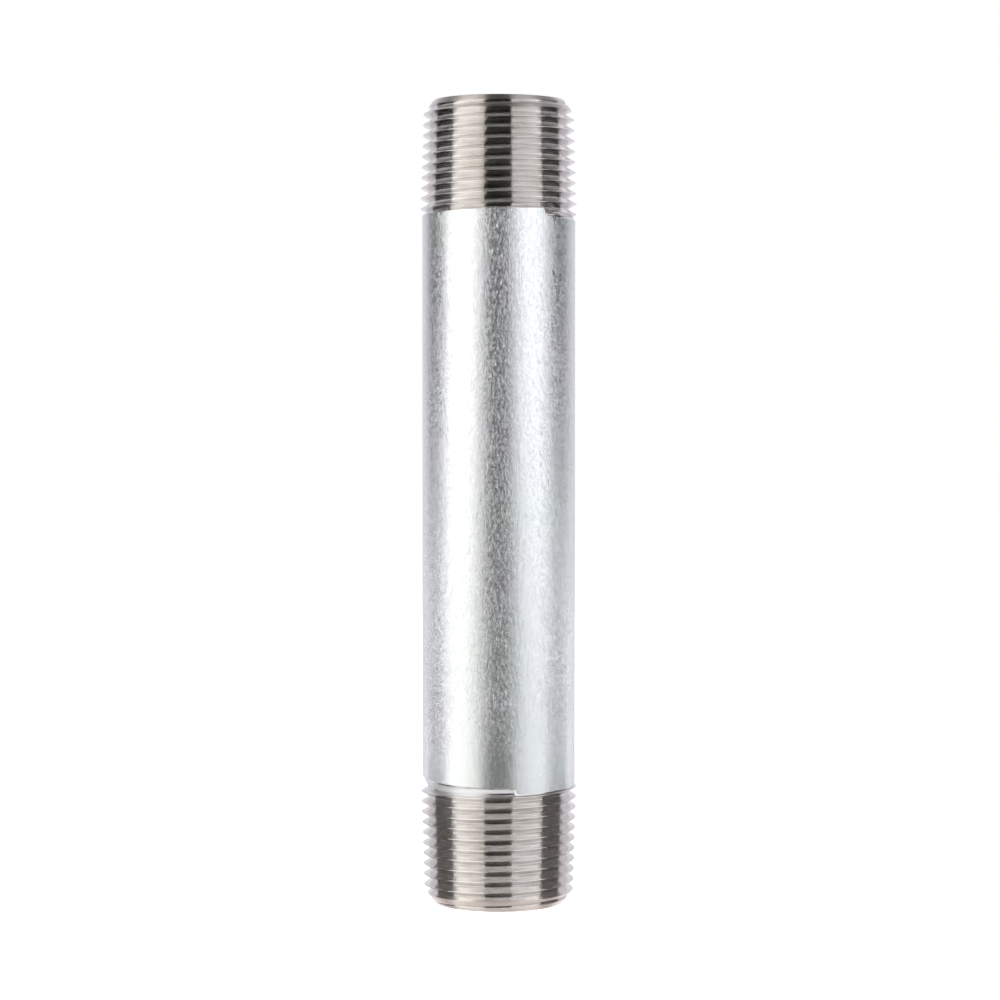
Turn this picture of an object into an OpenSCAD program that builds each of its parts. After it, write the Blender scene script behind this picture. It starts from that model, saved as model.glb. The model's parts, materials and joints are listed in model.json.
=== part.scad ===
// Threaded pipe nipple: a straight length of galvanised steel pipe with a
// tapered pipe thread on each end. The pipe stands on its lower end face,
// its axis is Z, and the front of the pipe is towards -Y.

/* [Pipe] */
// Outside diameter of the galvanised pipe
pipe_od = 26.67; // [26.3:0.01:27]
// Inside diameter of the galvanised bore
bore_d = 20.93; // [19:0.01:21.5]
// Length from end face to end face
nipple_length = 139.7; // [60:0.1:300]
// Thickness of the zinc, outside and in the bore
zinc_thickness = 0.08; // [0.05:0.01:0.12]
// Width of the longitudinal weld
weld_width = 1.6; // [0.8:0.1:3]

/* [Threads] */
// Threads in one inch of length
threads_per_inch = 14; // [13:0.5:16]
// Pitch diameter of the thread at the end face
pitch_d = 24.58; // [24.4:0.01:24.7]
// Thread height as a share of the pitch
height_share = 0.8; // [0.6:0.05:0.8]
// How far the last crests stand above the pipe
crest_rise = 0.24; // [0.05:0.01:0.3]
// Distance from the lower end face at which the thread has run out
lower_thread_length = 22.2; // [16:0.1:24]
// Distance from the upper end face at which the thread has run out
upper_thread_length = 20.8; // [16:0.1:24]
// Length of helix over which the groove fades, measured along the pipe
run_out = 1.3; // [0.6:0.1:4]
// Distance of the lowest front crest from the lower end face
lower_first_crest = 1.76; // [0.3:0.01:2.1]
// Distance of the uppermost front crest from the upper end face
upper_first_crest = 2.04; // [0.3:0.01:2.1]

/* [End faces] */
// Outer diameter of the flat end face, inside the bevel
face_od = 22.6; // [22.2:0.1:23]
// Inner diameter of the flat end face, outside the reamed mouth
face_id = 21.6; // [21.55:0.01:21.9]
// Angle of the outer bevel from the axis
bevel_angle = 37; // [30:1:50]
// Angle of the reamed mouth from the axis
ream_angle = 30; // [20:1:50]

/* [Hidden] */

// Plain pipe
pipe_r = pipe_od / 2;
bore_r = bore_d / 2;
steel_outer_r = pipe_r - zinc_thickness;
steel_inner_r = bore_r + zinc_thickness;
land = 0.8; // plain steel between a thread's run-out and the zinc
lower_zone = lower_thread_length + land;
upper_zone = upper_thread_length + land;
wall_bottom = lower_zone;
wall_top = nipple_length - upper_zone;
wall_length = wall_top - wall_bottom;

// Thread form: a 60 degree groove, cut on a taper of 1 in 16 on the diameter
inch = 25.4;
pitch = inch / threads_per_inch;
half_angle = 30;
taper = 1 / 32; // on the radius
thread_height = height_share * pitch;
full_v_height = pitch / 2 / tan(half_angle);
root_flat = (full_v_height - thread_height) * tan(half_angle);

// Thread mesh
steps = 48; // facets in one turn
rows_per_groove = 4; // outer edge, root, root, inner edge
overrun = 2 * pitch; // thread form beyond both ends of its blank
spare_turns = 3; // turns of the helix that are cut off flat at its start
cap_r = bore_r / 2;

// Mouth of the bore
ream_depth = (face_id / 2 - steel_inner_r) / tan(ream_angle);

$fn = 96;

function clamp(x, low, high) = max(low, min(high, x));

function crest_cone_r(depth) = (pitch_d + thread_height) / 2 + taper * depth;
function root_cone_r(depth) = (pitch_d - thread_height) / 2 + taper * depth;

// Share of its full depth that the groove still has at a given distance
// from the end face
function groove_share(depth, thread_length) =
    clamp((thread_length - depth) / run_out, 0, 1);

function root_r(depth, thread_length) =
    let (share = groove_share(depth, thread_length))
    pipe_r + share * (root_cone_r(depth) - pipe_r);

// Radius of the ridge on the face side of the groove at this depth
function ridge_r(depth, thread_length) = min(
    crest_cone_r(depth - pitch / 2),
    pipe_r + crest_rise * groove_share(depth, thread_length)
);

// One point of the thread form. Rows run along the helix, four to a groove.
function thread_point(i, row, phase, thread_length, low, high) =
    let (
        k = floor(row / rows_per_groove),
        place = row % rows_per_groove,
        centre = phase + pitch * (k - spare_turns + i / steps) - overrun,
        bottom = root_r(centre, thread_length),
        top = place < 2
            ? ridge_r(centre, thread_length)
            : ridge_r(centre + pitch, thread_length),
        half_width = root_flat / 2 + (top - bottom) * tan(half_angle),
        offset = [-half_width, -root_flat / 2, root_flat / 2, half_width][place],
        r = place == 0 || place == 3 ? top : bottom,
        depth = centre + offset,
        kept = depth > low && depth < high,
        angle = 360 * i / steps
    )
    [
        (kept ? r : cap_r) * cos(angle),
        (kept ? r : cap_r) * sin(angle),
        clamp(depth, low, high)
    ];

// Solid right-hand thread form without a bore, longer than the end that is
// cut from it. A turn's last column meets the next turn's first column.
module thread_form(phase, thread_length, zone) {
    low = -overrun;
    high = zone + overrun;
    last = rows_per_groove * (ceil((high - low) / pitch) + spare_turns + 2);
    row_count = last + 1;
    points = [
        for (i = [0 : steps - 1], row = [0 : last])
            thread_point(i, row, phase, thread_length, low, high)
    ];
    function at(i, row) =
        let (turned = i < steps ? row : row + rows_per_groove)
        (i % steps) * row_count + clamp(turned, 0, last);
    function distinct(t) =
        points[t[0]] != points[t[1]]
        && points[t[1]] != points[t[2]]
        && points[t[2]] != points[t[0]];
    sides = [
        for (i = [0 : steps - 1], row = [0 : last - 1])
            each [
                [at(i, row), at(i, row + 1), at(i + 1, row + 1)],
                [at(i, row), at(i + 1, row + 1), at(i + 1, row)],
            ]
    ];
    lower_cap = [for (i = [0 : steps - 1]) at(i, 0)];
    upper_cap = [for (i = [steps - 1 : -1 : 0]) at(i, last)];
    polyhedron(
        points = points,
        faces = concat([for (t = sides) if (distinct(t)) t], [lower_cap, upper_cap])
    );
}

// Turned and bored blank of one end: bevel, flat face and reamed mouth
module end_blank(zone) {
    outer_r = pipe_r + 1;
    bevel_length = (outer_r - face_od / 2) / tan(bevel_angle);
    rotate_extrude()
        polygon([
            [face_id / 2, 0],
            [face_od / 2, 0],
            [outer_r, bevel_length],
            [outer_r, zone],
            [steel_inner_r, zone],
            [steel_inner_r, ream_depth],
        ]);
}

module threaded_end(phase, thread_length, zone) {
    intersection() {
        thread_form(phase, thread_length, zone);
        end_blank(zone);
    }
}

module ring(outer_r, inner_r, height) {
    difference() {
        cylinder(r = outer_r, h = height);
        translate([0, 0, -1])
            cylinder(r = inner_r, h = height + 2);
    }
}

// Slot or strip across the wall at the back of the pipe
module weld_sector() {
    translate([-weld_width / 2, steel_inner_r - 1, 0])
        cube([weld_width, pipe_r - steel_inner_r + 2, wall_length]);
}

module pipe_wall() {
    color("slategray")
        translate([0, 0, wall_bottom])
            difference() {
                ring(steel_outer_r, steel_inner_r, wall_length);
                weld_sector();
            }
}

module weld_seam() {
    color("dimgray")
        translate([0, 0, wall_bottom])
            intersection() {
                ring(steel_outer_r, steel_inner_r, wall_length);
                weld_sector();
            }
}

module lower_threaded_end() {
    // A groove lies half a pitch from a crest, and the front is a quarter
    // turn before the helix starts.
    phase = lower_first_crest + pitch / 2 + pitch / 4;
    color("gray")
        threaded_end(phase, lower_thread_length, lower_zone);
}

module upper_threaded_end() {
    // Turned over, so the front is a quarter turn after the helix starts.
    phase = upper_first_crest + pitch / 2 - pitch / 4;
    color("gray")
        translate([0, 0, nipple_length])
            rotate([180, 0, 0])
                threaded_end(phase, upper_thread_length, upper_zone);
}

module outer_zinc_coat() {
    color("gainsboro")
        translate([0, 0, wall_bottom])
            ring(pipe_r, steel_outer_r, wall_length);
}

module bore_zinc_coat() {
    color("silver")
        translate([0, 0, ream_depth])
            ring(steel_inner_r, bore_r, nipple_length - 2 * ream_depth);
}

pipe_wall();
upper_threaded_end();
lower_threaded_end();
outer_zinc_coat();
bore_zinc_coat();
weld_seam();
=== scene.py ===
import json
import math

import bmesh
import bpy
import numpy as np
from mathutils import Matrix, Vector, noise

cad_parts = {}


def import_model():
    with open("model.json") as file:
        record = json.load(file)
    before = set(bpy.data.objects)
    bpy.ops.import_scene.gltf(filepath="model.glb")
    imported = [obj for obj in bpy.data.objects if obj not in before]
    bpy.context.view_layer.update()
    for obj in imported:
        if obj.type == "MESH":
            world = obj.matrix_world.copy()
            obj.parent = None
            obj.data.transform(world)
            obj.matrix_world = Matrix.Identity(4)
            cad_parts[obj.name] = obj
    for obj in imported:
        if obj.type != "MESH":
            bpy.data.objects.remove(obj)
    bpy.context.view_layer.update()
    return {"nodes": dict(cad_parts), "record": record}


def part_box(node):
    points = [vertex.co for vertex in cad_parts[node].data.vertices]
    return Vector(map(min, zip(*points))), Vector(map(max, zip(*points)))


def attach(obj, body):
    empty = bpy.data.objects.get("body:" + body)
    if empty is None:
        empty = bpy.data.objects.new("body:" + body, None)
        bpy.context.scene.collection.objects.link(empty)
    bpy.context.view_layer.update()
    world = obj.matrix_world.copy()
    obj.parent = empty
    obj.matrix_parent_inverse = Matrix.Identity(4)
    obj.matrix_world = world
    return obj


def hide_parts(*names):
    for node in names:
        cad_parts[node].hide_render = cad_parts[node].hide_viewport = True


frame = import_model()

MM = 0.001

# ---------------------------------------------------------------------------
# Sizes from the frame
# ---------------------------------------------------------------------------
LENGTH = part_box("upper_threaded_end")[1][2]
PIPE_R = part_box("outer_zinc_coat")[1][0]
LOWER_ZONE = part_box("lower_threaded_end")[1][2]
UPPER_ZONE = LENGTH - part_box("upper_threaded_end")[0][2]
REAM_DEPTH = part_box("bore_zinc_coat")[0][2]
STEEL_INNER_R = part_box("bore_zinc_coat")[1][0]
MOUNTS = {m["name"]: m for m in frame["record"]["mounts"]}
BORE_R = MOUNTS["bore"]["dims"]["r_mm"] * MM
ZINC = STEEL_INNER_R - BORE_R

# ---------------------------------------------------------------------------
# Thread form: 14 to the inch, 60 degrees between its flanks, rounded crests
# and roots, on a taper of 1 in 16 on the diameter
# ---------------------------------------------------------------------------
PITCH = 25.4 * MM / 14
TAPER = 1 / 32  # on the radius
FLANK = math.radians(60)  # slope of a flank against the axis
CREST_ARC = 0.07 * MM
ROOT_ARC = 0.06 * MM
HEIGHT = PITCH / 2 * math.tan(FLANK) - CREST_ARC - ROOT_ARC
PITCH_R = 12.29 * MM  # at the end face
CREST_ABOVE_PITCH_LINE = 0.726 * MM
CREST_R_AT_FACE = PITCH_R + CREST_ABOVE_PITCH_LINE
CREST_RISE = 0.24 * MM  # of the last crests above the pipe
WOBBLE = 0.010 * MM  # unevenness of the cut
WOBBLE_SIZE = 4 * MM  # round the pipe
WOBBLE_SQUEEZE = 3  # along the pipe

# Distance of each end's first front crest from its end face
LOWER_FIRST_CREST = 1.76 * MM
UPPER_FIRST_CREST = 2.04 * MM

# Thread mesh
COLUMNS = 240
ARC_STEPS = 4
FLANK_STEPS = 4
OVERRUN = 3 * PITCH  # thread form beyond both ends of its blank
SPARE_TURNS = 3  # turns that are cut off flat at the helix's start
SPARE_GROOVES = 5
MERGE_DISTANCE = 1e-9
WELD_DISTANCE = 1e-8

# Last groove: where the die stopped, in degrees to the right of the front
LOWER_STOP_DEG = 13.4
UPPER_STOP_DEG = 35.5
FRONT_DEG = -90
THROAT_MAX_DEG = 40  # the groove's floor is burnished where it is shallower
CUT_LIP = 0.15 * MM
CUT_RIM = 0.3 * MM

# End faces, as turned
FACE_OUTER_R = 11.3 * MM
FACE_INNER_R = 10.8 * MM
BEVEL = math.radians(37)
EDGE_ROUND = 0.06 * MM
BLANK_MARGIN = 1 * MM

# Material numbers of a threaded end's faces. The thread itself has 0.
TURNED = 1
THROAT = 2
ON_SURFACE = 0.02 * MM
ON_END_FACE = 0.01 * MM

# Angle between two faces that makes the edge between them sharp
THREAD_SHARP_DEG = 32
ZINC_SHARP_DEG = 40


# ---------------------------------------------------------------------------
# Mesh helpers
# ---------------------------------------------------------------------------
def smooth_noise(x, y, z, scale, seed):
    return noise.noise(Vector((x / scale + seed, y / scale, z / scale)))


def new_object(name, mesh):
    ob = bpy.data.objects.new(name, mesh)
    bpy.context.scene.collection.objects.link(ob)
    return ob


def weld(mesh):
    bm = bmesh.new()
    bm.from_mesh(mesh)
    bmesh.ops.remove_doubles(bm, verts=bm.verts, dist=WELD_DISTANCE)
    bmesh.ops.dissolve_degenerate(bm, edges=bm.edges, dist=WELD_DISTANCE)
    bmesh.ops.recalc_face_normals(bm, faces=bm.faces)
    bm.to_mesh(mesh)
    bm.free()


def torus_mesh(name, rings):
    """A mesh from rings of points that each go once round the axis.

    The last ring is joined to the first, as round a tube's section.
    """
    rings = np.array(list(rings) + [rings[0]])
    count, columns = rings.shape[:2]
    faces = []
    for j in range(count - 1):
        this, above = j * columns, (j + 1) * columns
        for i in range(columns):
            n = (i + 1) % columns
            faces.append((this + i, this + n, above + n, above + i))
    mesh = bpy.data.meshes.new(name)
    mesh.from_pydata(rings.reshape(-1, 3).tolist(), [], faces)
    weld(mesh)
    return mesh


def revolve(name, profile):
    """A closed solid of revolution about Z from a closed outline of (radius, height)."""
    angles = np.arange(COLUMNS) / COLUMNS * 2 * math.pi
    rings = [
        np.stack([r * np.cos(angles), r * np.sin(angles), np.full(COLUMNS, z)], axis=1)
        for r, z in profile
    ]
    return torus_mesh(name, rings)


def shade(mesh, sharp_deg):
    mesh.polygons.foreach_set("use_smooth", [True] * len(mesh.polygons))
    mesh.set_sharp_from_angle(angle=math.radians(sharp_deg))
    mesh.update()


# ---------------------------------------------------------------------------
# Threaded end. Depth is the distance from the end face, and angle 0 is +X
# before the upper end is turned over.
# ---------------------------------------------------------------------------
class RunOut:
    """Where the last groove ends.

    edges holds pairs of an angle after the stop mark and the depth in mm at which the cut
    meets the pipe's surface. Over the last part of its turn the groove is a shallow cone,
    left by the throat of the die. throat_start is the angle past which the cone takes the
    last ridge as well, 360 for nowhere.
    """
    TURN_DEG = (0, 100, 250, 360)
    SLOPE_DEG = (60, 60, 24, 24)

    def __init__(self, stop_deg, throat_start, edges):
        self.stop_deg = stop_deg
        self.throat_start = throat_start
        self.angles, self.depths = zip(*edges)

    def after(self, angle_deg):
        return (angle_deg - self.stop_deg) % 360

    def edge(self, angle_deg):
        return np.interp(self.after(angle_deg), self.angles, np.array(self.depths) * MM)

    def slope_deg(self, angle_deg):
        return np.interp(self.after(angle_deg), self.TURN_DEG, self.SLOPE_DEG)

    def floor_r(self, angle_deg, depth):
        """Radius of the cone that bounds the last groove."""
        slope_deg = self.slope_deg(angle_deg)
        lip = CUT_LIP if slope_deg < THROAT_MAX_DEG else 0
        return PIPE_R - lip - (self.edge(angle_deg) - depth) * math.tan(math.radians(slope_deg))

    def last_ridge(self, angle_deg, phase):
        """Depth of the last full ridge, which the last groove follows."""
        first = phase + PITCH / 2
        turn = self.stop_deg % 360 / 360
        at_stop = first + PITCH * (math.floor((self.depths[0] * MM - first) / PITCH - turn) + turn)
        after = self.after(angle_deg)
        return at_stop + PITCH * (after / 360 - (after > self.throat_start))


def groove_profile():
    """One pitch of the thread from crest to crest.

    Its points are pairs of an offset from the groove's centre and a height above the root.
    """
    half = []
    for k in range(ARC_STEPS + 1):
        a = FLANK * k / ARC_STEPS
        half.append((ROOT_ARC * math.sin(a), ROOT_ARC * (1 - math.cos(a))))
    crest_arc = []
    for k in range(ARC_STEPS):
        a = FLANK * (1 - k / ARC_STEPS)
        x = PITCH / 2 - CREST_ARC * math.sin(a)
        crest_arc.append((x, HEIGHT - CREST_ARC * (1 - math.cos(a))))
    start, end = half[-1], crest_arc[0]
    for k in range(1, FLANK_STEPS + 1):
        t = k / FLANK_STEPS
        half.append((start[0] + t * (end[0] - start[0]), start[1] + t * (end[1] - start[1])))
    half += crest_arc[1:]
    return [(-PITCH / 2, HEIGHT)] + [(-x, h) for x, h in reversed(half[1:])] + half


def thread_column(share, grooves, profile, phase, run_out, low, high, seed):
    """The thread form's points from its low end to its high end, at a share of a turn."""
    angle = 2 * math.pi * share
    degrees = math.degrees(angle)
    cut_end = run_out.edge(degrees)
    ridge = run_out.last_ridge(degrees, phase)
    x, y = PIPE_R * math.cos(angle), PIPE_R * math.sin(angle)
    column = []
    for k in range(grooves):
        centre = phase + PITCH * (k - SPARE_TURNS + share) + low
        wobble = WOBBLE * (smooth_noise(x, y, centre * WOBBLE_SQUEEZE, WOBBLE_SIZE, seed) - 1)
        for offset, height in profile:
            depth = min(high, max(low, centre + offset))
            if depth in (low, high):
                r = BORE_R / 2
            else:
                crest_centre = centre + (PITCH / 2 if offset > 0 else -PITCH / 2)
                crest = min(CREST_R_AT_FACE + TAPER * crest_centre, PIPE_R + CREST_RISE)
                r = crest - HEIGHT + height + wobble
                if depth >= cut_end:
                    r = PIPE_R - ZINC
                elif depth > ridge + PITCH / 2:
                    r = max(crest - HEIGHT, run_out.floor_r(degrees, depth))
                elif depth > ridge:
                    r = max(r, run_out.floor_r(degrees, depth))
            column.append((r * math.cos(angle), r * math.sin(angle), depth))
    return column


def thread_solid(name, phase, run_out, zone, seed):
    """A solid thread form, longer than the end that is cut from it.

    phase is the depth of a groove's centre at angle 0. Rows run along the helix, so a
    turn's last column meets the next turn's first column.
    """
    profile = groove_profile()
    per_groove = len(profile)
    low, high = -OVERRUN, zone + OVERRUN
    grooves = math.ceil((high - low) / PITCH) + SPARE_GROOVES
    rows = grooves * per_groove
    points = []
    for i in range(COLUMNS):
        points += thread_column(i / COLUMNS, grooves, profile, phase, run_out, low, high, seed)

    def at(i, row):
        if i == COLUMNS:
            i, row = 0, row + per_groove
        return i * rows + min(row, rows - 1)

    faces = []
    for i in range(COLUMNS):
        for row in range(rows - 1):
            faces.append((at(i, row), at(i + 1, row), at(i + 1, row + 1), at(i, row + 1)))
    faces.append(tuple(at(i, 0) for i in range(COLUMNS - 1, -1, -1)))
    faces.append(tuple(at(i, rows - 1) for i in range(COLUMNS)))

    bm = bmesh.new()
    verts = [bm.verts.new(p) for p in points]
    for face in faces:
        corners = []
        for v in face:
            if not corners or (verts[v].co - corners[-1].co).length > 0:
                corners.append(verts[v])
        if len(corners) > 2 and (corners[0].co - corners[-1].co).length == 0:
            corners.pop()
        if len(corners) > 2:
            bm.faces.new(corners)
    bmesh.ops.remove_doubles(bm, verts=bm.verts, dist=MERGE_DISTANCE)
    bmesh.ops.triangulate(bm, faces=bm.faces)
    mesh = bpy.data.meshes.new(name)
    bm.to_mesh(mesh)
    bm.free()
    return mesh


def end_blank(name, zone):
    """Turned and bored blank of one end: bevel, flat face and reamed mouth."""
    outer = PIPE_R + BLANK_MARGIN
    bevel_length = (outer - FACE_OUTER_R) / math.tan(BEVEL)
    return revolve(name, [
        (FACE_INNER_R + EDGE_ROUND, 0),
        (FACE_OUTER_R - EDGE_ROUND, 0),
        (FACE_OUTER_R - 0.3 * EDGE_ROUND, 0.15 * EDGE_ROUND),
        (FACE_OUTER_R + 0.3 * EDGE_ROUND, 0.7 * EDGE_ROUND),
        (outer, bevel_length),
        (outer, zone),
        (STEEL_INNER_R, zone),
        (STEEL_INNER_R, REAM_DEPTH),
        (FACE_INNER_R - 0.3 * EDGE_ROUND, 0.6 * EDGE_ROUND),
        (FACE_INNER_R + 0.3 * EDGE_ROUND, 0.15 * EDGE_ROUND),
    ])


def assign_finishes(mesh, run_out):
    """Mark the end face and bevel as turned, and the last groove's shallow end as throat."""
    for face in mesh.polygons:
        x, y, depth = face.center
        r = math.hypot(x, y)
        degrees = math.degrees(math.atan2(y, x))
        to_edge = run_out.edge(degrees) - depth
        bevel_r = FACE_OUTER_R + depth * math.tan(BEVEL)
        on_bevel = r > FACE_INNER_R and abs(r - bevel_r) < ON_SURFACE
        if on_bevel or depth < ON_END_FACE:
            face.material_index = TURNED
        elif CUT_RIM < to_edge < PITCH and run_out.slope_deg(degrees) < THROAT_MAX_DEG:
            if abs(r - run_out.floor_r(degrees, depth)) < ON_SURFACE:
                face.material_index = THROAT


def threaded_end(name, node, phase, run_out, zone, seed, turned_over):
    solid = new_object(name, thread_solid(name, phase, run_out, zone, seed))
    blank = new_object(name + "_blank", end_blank(name + "_blank", zone))
    cut = solid.modifiers.new("blank", "BOOLEAN")
    cut.operation = "INTERSECT"
    cut.solver = "MANIFOLD"
    cut.object = blank
    bpy.context.view_layer.update()
    evaluated = solid.evaluated_get(bpy.context.evaluated_depsgraph_get())
    mesh = bpy.data.meshes.new_from_object(evaluated)
    solid.modifiers.clear()
    solid.data = mesh
    bpy.data.objects.remove(blank)
    weld(mesh)
    assign_finishes(mesh, run_out)
    if turned_over:
        for v in mesh.vertices:
            x, y, z = v.co
            v.co = (x, -y, LENGTH - z)
    shade(mesh, THREAD_SHARP_DEG)
    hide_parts(node)
    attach(solid, "root")
    return solid


lower_run_out = RunOut(FRONT_DEG + LOWER_STOP_DEG, 100, [
    (0, 20.40), (90, 20.87), (240, 21.90), (270, 22.17), (304, 21.75), (359, 21.51), (360, 20.40)])
upper_run_out = RunOut(-(FRONT_DEG + UPPER_STOP_DEG), 360, [
    (0, 19.30), (35.5, 19.40), (95, 19.85), (330, 20.90), (350, 20.60), (358, 20.60), (360, 19.30)])

# A groove lies half a pitch from a crest, and the front is a quarter turn
# from the helix's start.
lower_end = threaded_end(
    "lower_thread", "lower_threaded_end",
    LOWER_FIRST_CREST + PITCH / 2 + PITCH / 4, lower_run_out, LOWER_ZONE, 3.1, False)
upper_end = threaded_end(
    "upper_thread", "upper_threaded_end",
    UPPER_FIRST_CREST + PITCH / 2 - PITCH / 4, upper_run_out, UPPER_ZONE, 7.7, True)


# ---------------------------------------------------------------------------
# Zinc
# ---------------------------------------------------------------------------
def zinc_relief(x, y, z):
    """Unevenness of the drained zinc, inside the plain radius: long runs and small lumps."""
    runs = smooth_noise(x, y, z * 0.35, 5 * MM, 1.3)
    lumps = smooth_noise(x, y, z, 1.6 * MM, 5.9)
    return (0.012 * runs + 0.006 * lumps - 0.018) * MM


def outer_zinc():
    """Zinc on the outside, from the edge of one thread's cut to that of the other."""
    columns, rows = 300, 280

    def ring(t, is_outside):
        points = []
        for i in range(columns):
            deg = 360 * i / columns
            a = math.radians(deg)
            z0 = lower_run_out.edge(deg)
            z1 = LENGTH - upper_run_out.edge(-deg)
            z = z0 + t * (z1 - z0)
            r = PIPE_R - ZINC
            if is_outside:
                r = PIPE_R + zinc_relief(PIPE_R * math.cos(a), PIPE_R * math.sin(a), z)
            points.append((r * math.cos(a), r * math.sin(a), z))
        return points

    rings = [ring(j / rows, True) for j in range(rows + 1)]
    rings += [ring(t, False) for t in (1, 0.5, 0)]
    mesh = torus_mesh("outer_zinc", rings)
    shade(mesh, ZINC_SHARP_DEG)
    ob = new_object("outer_zinc", mesh)
    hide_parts("outer_zinc_coat")
    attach(ob, "root")
    return ob


def bore_zinc():
    """Zinc in the bore, with the low bead that the weld leaves along the back."""
    columns, rows = 180, 200
    seam_angle = math.pi / 2
    seam_width = math.radians(4)
    bead_height = 0.15 * MM
    roughness = 0.03 * MM
    low, high = REAM_DEPTH, LENGTH - REAM_DEPTH

    def steel_r(a, z):
        return STEEL_INNER_R

    def bore_r(a, z):
        x, y = BORE_R * math.cos(a), BORE_R * math.sin(a)
        off_seam = (a - seam_angle) / seam_width
        bead = bead_height * math.exp(-off_seam * off_seam)
        rough = roughness * abs(smooth_noise(x, y, z * 0.5, 2.5 * MM, 9.2))
        return BORE_R - bead * (1 + 0.3 * smooth_noise(x, y, z, 3 * MM, 2.2)) + rough

    def ring(z, radius):
        points = []
        for i in range(columns):
            a = 2 * math.pi * i / columns
            r = radius(a, z)
            points.append((r * math.cos(a), r * math.sin(a), z))
        return points

    rings = [ring(low + (high - low) * j / rows, bore_r) for j in range(rows + 1)]
    rings += [ring(z, steel_r) for z in (high, low)]
    mesh = torus_mesh("bore_zinc", rings)
    shade(mesh, ZINC_SHARP_DEG)
    ob = new_object("bore_zinc", mesh)
    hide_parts("bore_zinc_coat")
    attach(ob, "root")
    return ob


outer_coat = outer_zinc()
bore_coat = bore_zinc()


# ---------------------------------------------------------------------------
# Materials
# ---------------------------------------------------------------------------
class Nodes:
    """Short names for building one material's node tree."""

    def __init__(self, name, metallic):
        self.material = bpy.data.materials.new(name)
        self.material.use_nodes = True
        self.tree = self.material.node_tree
        self.shader = self.tree.nodes["Principled BSDF"]
        self.shader.inputs["Metallic"].default_value = metallic
        self.object_coords = self.tree.nodes.new("ShaderNodeTexCoord").outputs["Object"]

    def link(self, output, target):
        self.tree.links.new(output, target)

    def stretched(self, x, y, z):
        node = self.tree.nodes.new("ShaderNodeMapping")
        node.inputs["Scale"].default_value = (x, y, z)
        self.link(self.object_coords, node.inputs["Vector"])
        return node.outputs["Vector"]

    def height(self):
        node = self.tree.nodes.new("ShaderNodeSeparateXYZ")
        self.link(self.object_coords, node.inputs[0])
        return node.outputs["Z"]

    def noise(self, vector, scale, detail=2.0, roughness=0.5, distortion=0.0):
        node = self.tree.nodes.new("ShaderNodeTexNoise")
        node.inputs["Scale"].default_value = scale
        node.inputs["Detail"].default_value = detail
        node.inputs["Roughness"].default_value = roughness
        node.inputs["Distortion"].default_value = distortion
        self.link(vector, node.inputs["Vector"])
        return node.outputs["Fac"]

    def tint(self, factor, low, low_colour, high, high_colour):
        """A colour that goes from one to the other as the factor goes from low to high."""
        node = self.tree.nodes.new("ShaderNodeValToRGB")
        stops = ((low, low_colour), (high, high_colour))
        for element, (position, colour) in zip(node.color_ramp.elements, stops):
            element.position = position
            element.color = (*colour, 1)
        self.link(factor, node.inputs["Fac"])
        return node.outputs["Color"]

    def remap(self, value, low, high, to_low, to_high):
        node = self.tree.nodes.new("ShaderNodeMapRange")
        node.inputs["From Min"].default_value = low
        node.inputs["From Max"].default_value = high
        node.inputs["To Min"].default_value = to_low
        node.inputs["To Max"].default_value = to_high
        self.link(value, node.inputs["Value"])
        return node.outputs["Result"]

    def math(self, operation, a, b):
        node = self.tree.nodes.new("ShaderNodeMath")
        node.operation = operation
        for socket, value in zip(node.inputs, (a, b)):
            if isinstance(value, (int, float)):
                socket.default_value = value
            else:
                self.link(value, socket)
        return node.outputs[0]

    def bump(self, height, distance, normal=None):
        node = self.tree.nodes.new("ShaderNodeBump")
        node.inputs["Distance"].default_value = distance
        node.inputs["Strength"].default_value = 1
        self.link(height, node.inputs["Height"])
        if normal is not None:
            self.link(normal, node.inputs["Normal"])
        return node.outputs["Normal"]

    def finished(self, colour, roughness, normal):
        """The material, with these outputs linked to its shader."""
        self.link(colour, self.shader.inputs["Base Color"])
        self.link(roughness, self.shader.inputs["Roughness"])
        self.link(normal, self.shader.inputs["Normal"])
        return self.material

    def brush_around(self):
        """Stretch the gloss across the turning marks, which run round the axis."""
        self.shader.inputs["Anisotropic"].default_value = 1.0
        self.shader.inputs["Anisotropic Rotation"].default_value = 0.25
        around = self.tree.nodes.new("ShaderNodeTangent")
        around.direction_type = "RADIAL"
        around.axis = "Z"
        self.link(around.outputs["Tangent"], self.shader.inputs["Tangent"])


def zinc_material():
    """Galvanised zinc: wrinkled, frosted lower down, and streaked as it drained."""
    n = Nodes("galvanised_zinc", metallic=0.8)
    height = n.height()
    clouds = n.noise(n.object_coords, 60)
    patches = n.noise(n.stretched(1, 1, 0.6), 110, detail=4, roughness=0.6)
    frost_by_height = n.remap(height, 0.03, 0.115, 0.6, 0)
    frost = n.remap(n.math("ADD", frost_by_height, patches), 0.4, 1.1, 0, 1)
    wrinkles = n.noise(n.stretched(1, 1, 0.75), 1500, detail=4, roughness=0.62, distortion=1.8)
    folds = n.math("ABSOLUTE", n.math("SUBTRACT", wrinkles, 0.5), 0)
    folds = n.math("MULTIPLY", folds, n.remap(height, 0.024, 0.036, 0.4, 1))
    streaks = n.noise(n.stretched(1, 1, 0.3), 520, detail=3, roughness=0.55, distortion=1.2)
    lines = n.noise(n.stretched(1, 1, 8), 320, detail=3, roughness=0.6)
    normal = n.bump(folds, 0.092 * MM)
    normal = n.bump(streaks, 0.03 * MM, normal)
    normal = n.bump(lines, 0.010 * MM, normal)
    return n.finished(
        colour=n.tint(clouds, 0.35, (0.73, 0.77, 0.76), 0.65, (0.76, 0.765, 0.80)),
        roughness=n.remap(frost, 0, 1, 0.19, 0.27),
        normal=normal)


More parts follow.
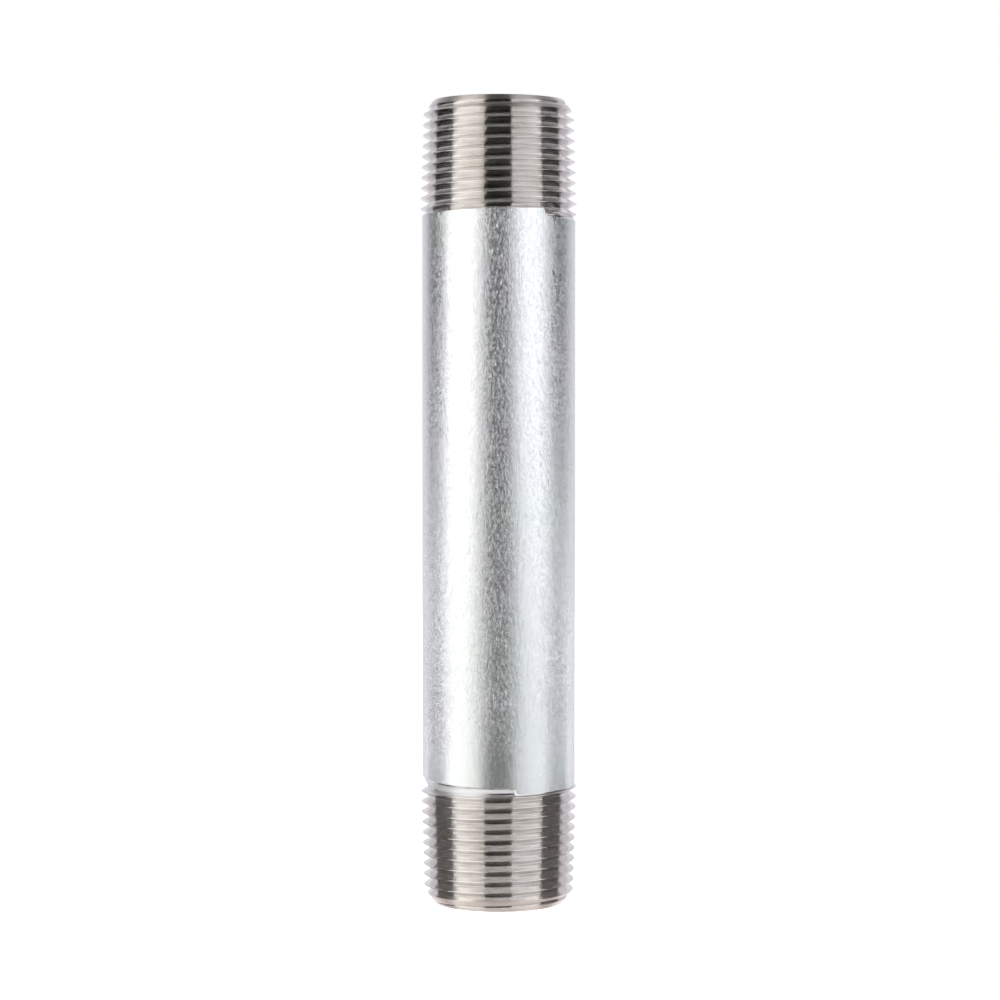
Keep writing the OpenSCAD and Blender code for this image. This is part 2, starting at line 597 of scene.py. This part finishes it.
def steel_material():
    """The cut thread, bright, with fine marks round it."""
    n = Nodes("cut_steel", metallic=1)
    marks = n.noise(n.stretched(1, 1, 12), 500, detail=3, roughness=0.6)
    blotches = n.noise(n.object_coords, 200, detail=3)
    n.brush_around()
    return n.finished(
        colour=n.tint(blotches, 0.35, (0.66, 0.64, 0.62), 0.65, (0.72, 0.70, 0.69)),
        roughness=n.remap(blotches, 0.3, 0.7, 0.15, 0.20),
        normal=n.bump(marks, 0.004 * MM))


def turned_steel_material():
    """End face and bevel, with the coarse rings a lathe tool leaves."""
    n = Nodes("turned_steel", metallic=1)
    marks = n.noise(n.stretched(1, 1, 12), 500, detail=3, roughness=0.6)
    blotches = n.noise(n.object_coords, 300, detail=3)
    n.brush_around()
    return n.finished(
        colour=n.tint(blotches, 0.35, (0.62, 0.57, 0.53), 0.65, (0.74, 0.70, 0.67)),
        roughness=n.remap(blotches, 0.3, 0.7, 0.34, 0.40),
        normal=n.bump(marks, 0.03 * MM))


def throat_material():
    """Shallow end of the last groove, burnished by the die."""
    n = Nodes("burnished_steel", metallic=0.8)
    smears = n.noise(n.stretched(1, 1, 6), 300, detail=3)
    return n.finished(
        colour=n.tint(smears, 0.35, (0.80, 0.82, 0.85), 0.65, (0.88, 0.89, 0.92)),
        roughness=n.remap(smears, 0.3, 0.7, 0.42, 0.5),
        normal=n.bump(smears, 0.008 * MM))


def bore_material():
    """Dull, streaked zinc."""
    n = Nodes("bore_zinc", metallic=1)
    streaks = n.noise(n.stretched(1, 1, 0.4), 500, detail=4, roughness=0.6)
    return n.finished(
        colour=n.tint(streaks, 0.3, (0.50, 0.52, 0.53), 0.7, (0.66, 0.67, 0.68)),
        roughness=n.remap(streaks, 0.3, 0.7, 0.35, 0.5),
        normal=n.bump(streaks, 0.05 * MM))


def dark_steel_material():
    """The pipe's own steel, under the zinc, with its mill scale."""
    n = Nodes("plain_steel", metallic=1)
    scale = n.noise(n.stretched(1, 1, 0.3), 700, detail=4)
    return n.finished(
        colour=n.tint(scale, 0.3, (0.20, 0.20, 0.21), 0.7, (0.32, 0.31, 0.31)),
        roughness=n.remap(scale, 0.3, 0.7, 0.45, 0.6),
        normal=n.bump(scale, 0.04 * MM))


def set_materials(ob, *materials):
    """Materials in the order of the faces' material numbers."""
    slots = ob.data.materials
    for k, material in enumerate(materials):
        if k < len(slots):
            slots[k] = material
        else:
            slots.append(material)


end_finishes = (steel_material(), turned_steel_material(), throat_material())
set_materials(lower_end, *end_finishes)
set_materials(upper_end, *end_finishes)
set_materials(outer_coat, zinc_material())
set_materials(bore_coat, bore_material())
hidden_steel = dark_steel_material()
for node_name in ("pipe_wall", "weld_seam"):
    for slot in frame["nodes"][node_name].material_slots:
        slot.material = hidden_steel


# ---------------------------------------------------------------------------
# Stage, light and camera
# ---------------------------------------------------------------------------
CREAM = (1.0, 0.985, 0.965)
COOL = (0.97, 0.975, 1.0)
LAVENDER = (0.95, 0.93, 1.0)
BLUSH = (1.0, 0.9, 0.86)
WHITE = (1, 1, 1, 1)

FLOOR_HALF = 3.0
SOFTBOX_DISTANCE = 0.6
UNDER_DISTANCE = 0.5

# Azimuths that the softboxes fill, in degrees: 0 is the camera's side, positive to the right
LEFT = (-84, -33)
LEFT_EDGE = (-33, -25)
RIGHT = (22, 77)
LEFT_BACK = (-180, -131)
RIGHT_BACK = (124, 180)
UNDER_LEFT = (-80, -27)
UNDER_FRONT = (-27, 27)
UNDER_RIGHT = (27, 80)

# Heights that they fill. The pipe mirrors them, so its brightness changes where one ends.
LEFT_UPPER = (0.085, 0.9)
LEFT_LOWER = (-0.5, 0.085)
RIGHT_UPPER = (0.07, 0.7)
RIGHT_MIDDLE = (-0.05, 0.07)
RIGHT_LOWER = (-0.5, -0.05)
BACK = (-0.5, 0.9)
UNDER = (-0.45, -0.28)

# Camera, fitted to the photograph's outline of the pipe
SENSOR_MM = 36
LENS_MM = 102.05
SHIFT_X = 0.00125
SHIFT_Y = 0.0027
CAMERA_ELEVATION = math.radians(2.022)
CAMERA_DISTANCE = 0.49493
CLIP_START = 0.01


def floor():
    """Pale floor, seen by the camera only: the pipe's reflections come from the lights."""
    corners = [(-1, -1), (1, -1), (1, 1), (-1, 1)]
    mesh = bpy.data.meshes.new("floor")
    mesh.from_pydata([(x * FLOOR_HALF, y * FLOOR_HALF, 0) for x, y in corners], [], [(0, 1, 2, 3)])
    ob = new_object("floor", mesh)
    material = bpy.data.materials.new("floor")
    material.use_nodes = True
    shader = material.node_tree.nodes["Principled BSDF"]
    shader.inputs["Base Color"].default_value = (0.8, 0.8, 0.8, 1)
    shader.inputs["Roughness"].default_value = 0.9
    shader.inputs["Emission Color"].default_value = WHITE
    shader.inputs["Emission Strength"].default_value = 1
    set_materials(ob, material)
    ob.visible_glossy = False
    ob.visible_diffuse = False
    ob.visible_shadow = False


def panel(name, location, toward, width, height, radiance, colour):
    """A soft rectangular light of even brightness. toward is the point it faces."""
    light = bpy.data.lights.new(name, "AREA")
    light.shape = "RECTANGLE"
    light.size = width
    light.size_y = height
    light.energy = radiance * math.pi * width * height
    light.color = colour
    ob = new_object(name, light)
    ob.location = location
    ob.rotation_euler = (Vector(location) - Vector(toward)).to_track_quat("Z", "Y").to_euler()
    ob.visible_camera = False


def softbox(name, azimuths, heights, radiance, colour, distance=SOFTBOX_DISTANCE):
    """An upright light that fills a range of azimuths and a range of heights."""
    start_deg, end_deg = azimuths
    bottom, top = heights
    a = math.radians((start_deg + end_deg) / 2)
    width = 2 * distance * math.tan(math.radians((end_deg - start_deg) / 2))
    middle = (bottom + top) / 2
    location = (distance * math.sin(a), -distance * math.cos(a), middle)
    panel(name, location, (0, 0, middle), width, top - bottom, radiance, colour)


def under_light(name, azimuths, radiance):
    """A low light that shows as a thin line in each groove."""
    softbox(name, azimuths, UNDER, radiance, CREAM, UNDER_DISTANCE)


def upward_light(name, x, y, z, width, height, radiance, colour):
    """A flat light that faces up, as a bright table does."""
    panel(name, (x, y, z), (x, y, 1), width, height, radiance, colour)


def world():
    """White behind everything, which lights nothing."""
    studio = bpy.data.worlds.new("studio")
    bpy.context.scene.world = studio
    studio.use_nodes = True
    studio.node_tree.nodes["Background"].inputs["Color"].default_value = WHITE
    studio.cycles_visibility.glossy = False
    studio.cycles_visibility.diffuse = False


def camera():
    data = bpy.data.cameras.new("camera")
    data.sensor_width = SENSOR_MM
    data.lens = LENS_MM
    data.shift_x = SHIFT_X
    data.shift_y = SHIFT_Y
    data.clip_start = CLIP_START
    ob = new_object("camera", data)
    back = Vector((0, -math.cos(CAMERA_ELEVATION), math.sin(CAMERA_ELEVATION)))
    ob.location = Vector((0, 0, LENGTH / 2)) + back * CAMERA_DISTANCE
    ob.rotation_euler = back.to_track_quat("Z", "Y").to_euler()
    bpy.context.scene.camera = ob


floor()
softbox("left_front", LEFT, LEFT_UPPER, 2.1, CREAM)
softbox("left_front_low", LEFT, LEFT_LOWER, 1.15, CREAM)
softbox("left_front_edge", LEFT_EDGE, LEFT_UPPER, 1.6, CREAM)
softbox("left_front_edge_low", LEFT_EDGE, LEFT_LOWER, 1.0, CREAM)
softbox("right_front", RIGHT, RIGHT_UPPER, 1.7, COOL)
softbox("right_front_mid", RIGHT, RIGHT_MIDDLE, 1.1, COOL)
softbox("right_front_low", RIGHT, RIGHT_LOWER, 0.65, COOL)
softbox("left_back", LEFT_BACK, BACK, 0.9, LAVENDER)
softbox("right_back", RIGHT_BACK, BACK, 0.9, LAVENDER)
panel("overhead", (0, 0.1, 0.9), (0, 0.1, 0), 0.7, 0.6, 0.25, CREAM)
under_light("under_left", UNDER_LEFT, 1.9)
under_light("under_front", UNDER_FRONT, 3.0)
under_light("under_right", UNDER_RIGHT, 1.9)
upward_light("low_left", -0.8, 0.1, -0.02, 1.0, 0.9, 1.5, COOL)
upward_light("low_right", 0.8, 0.1, -0.02, 1.0, 0.9, 1.4, COOL)
upward_light("table", 0, 0, -0.01, 0.16, 0.16, 0.22, BLUSH)
upward_light("under_foot", 0, 0, -0.0008, 0.028, 0.028, 0.5, BLUSH)
world()
camera()
bpy.context.scene.view_settings.view_transform = "Standard"
